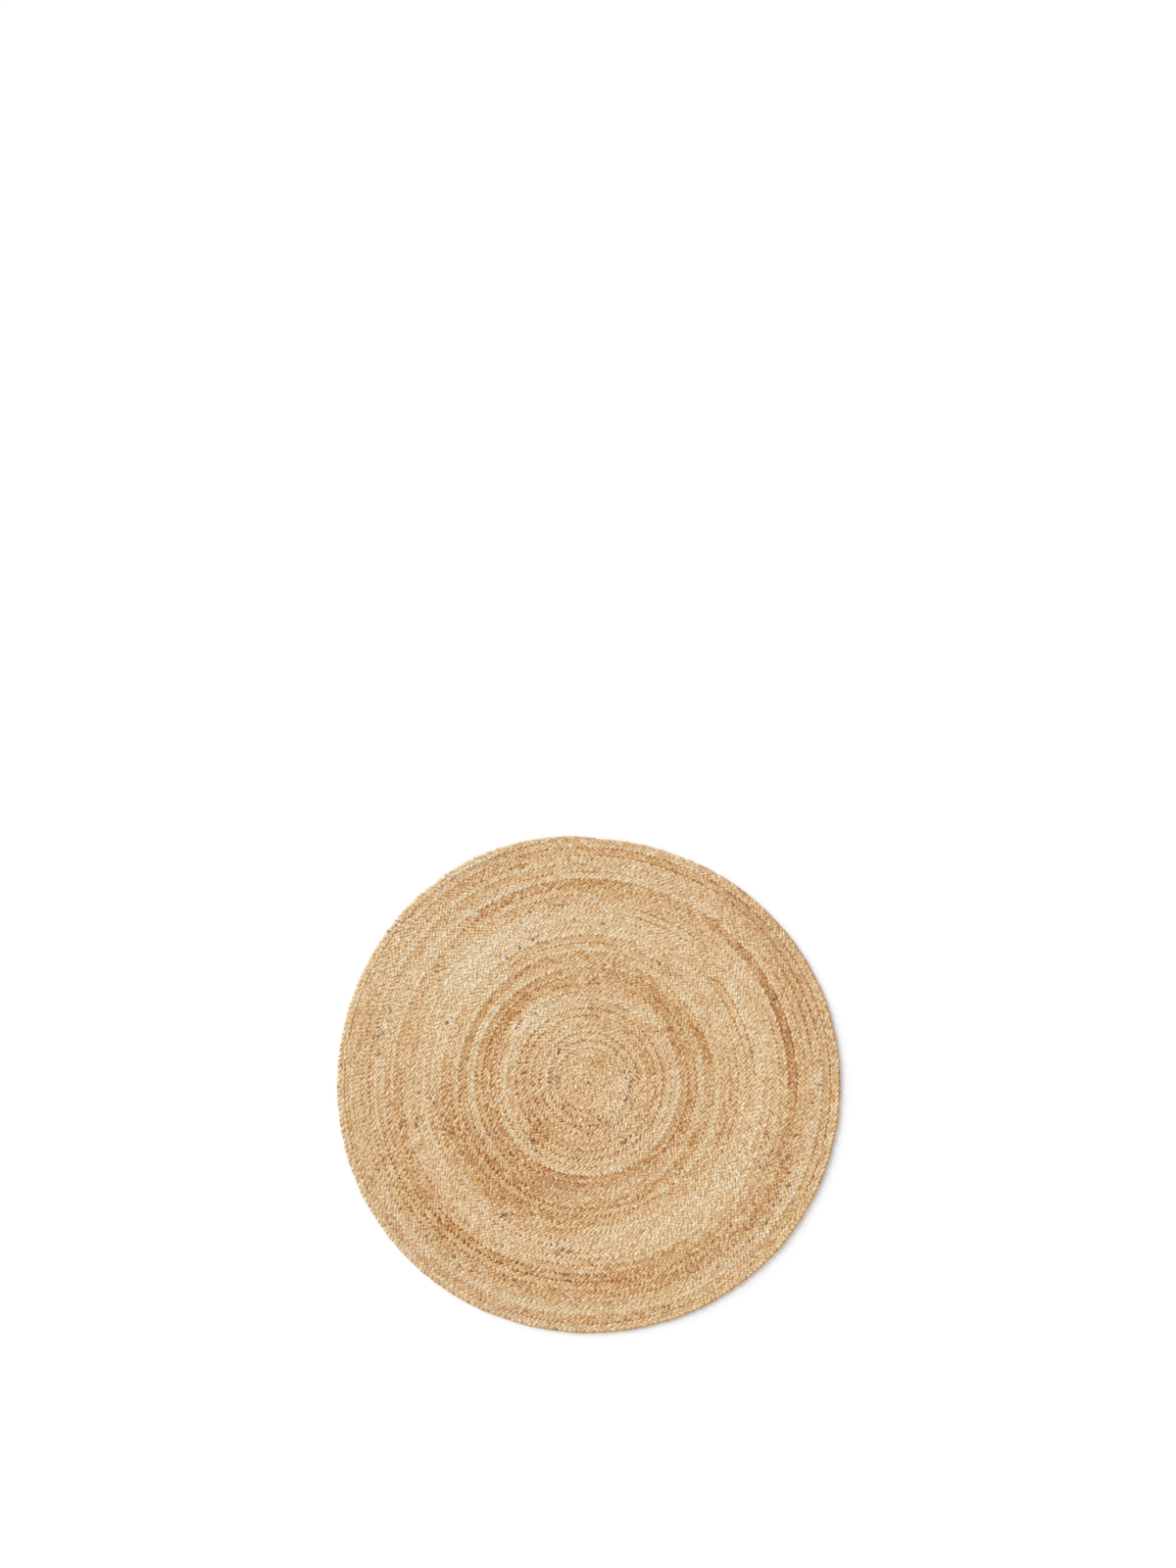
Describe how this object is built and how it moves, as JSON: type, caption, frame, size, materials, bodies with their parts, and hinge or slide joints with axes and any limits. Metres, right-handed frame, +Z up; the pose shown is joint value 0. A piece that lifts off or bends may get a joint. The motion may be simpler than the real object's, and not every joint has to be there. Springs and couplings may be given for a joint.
{
  "type": "area rug",
  "caption": "Round flat floor rug made of a coiled jute plait, its turns sewn side to side, with the tapered tail whipped to the rim.",
  "frame": {"origin": "on the floor plane, under the middle of the rug's outline box", "axes": "+Z up out of the face that is walked on, +Y towards the rim where the plait's tail ends, +X to the right of it seen from above"},
  "size_m": [1.2034, 1.1898, 0.009],
  "materials": {
    "jute_plait": "dry straw-coloured jute yarn, plaited flat, faint cream glint on each yarn",
    "jute_rim": "the same jute plait, a little greyer and browner on the outermost turns",
    "seam_thread": "fine twisted jute twine, matt",
    "whipping_thread": "fine twisted jute twine, matt"
  },
  "bodies": {
    "root": {"plait_length_1": "jute_plait", "plait_length_2": "jute_plait", "plait_length_3": "jute_plait", "plait_length_4": "jute_plait", "plait_length_5": "jute_plait", "plait_length_6": "jute_rim", "seam_thread_1": "seam_thread", "seam_thread_2": "seam_thread", "seam_thread_3": "seam_thread", "seam_thread_4": "seam_thread", "seam_thread_5": "seam_thread", "seam_thread_6": "seam_thread", "tail_stitch_1": "whipping_thread", "tail_stitch_2": "whipping_thread", "tail_stitch_3": "whipping_thread", "tail_stitch_4": "whipping_thread", "tail_stitch_5": "whipping_thread"}
  },
  "joints": []
}
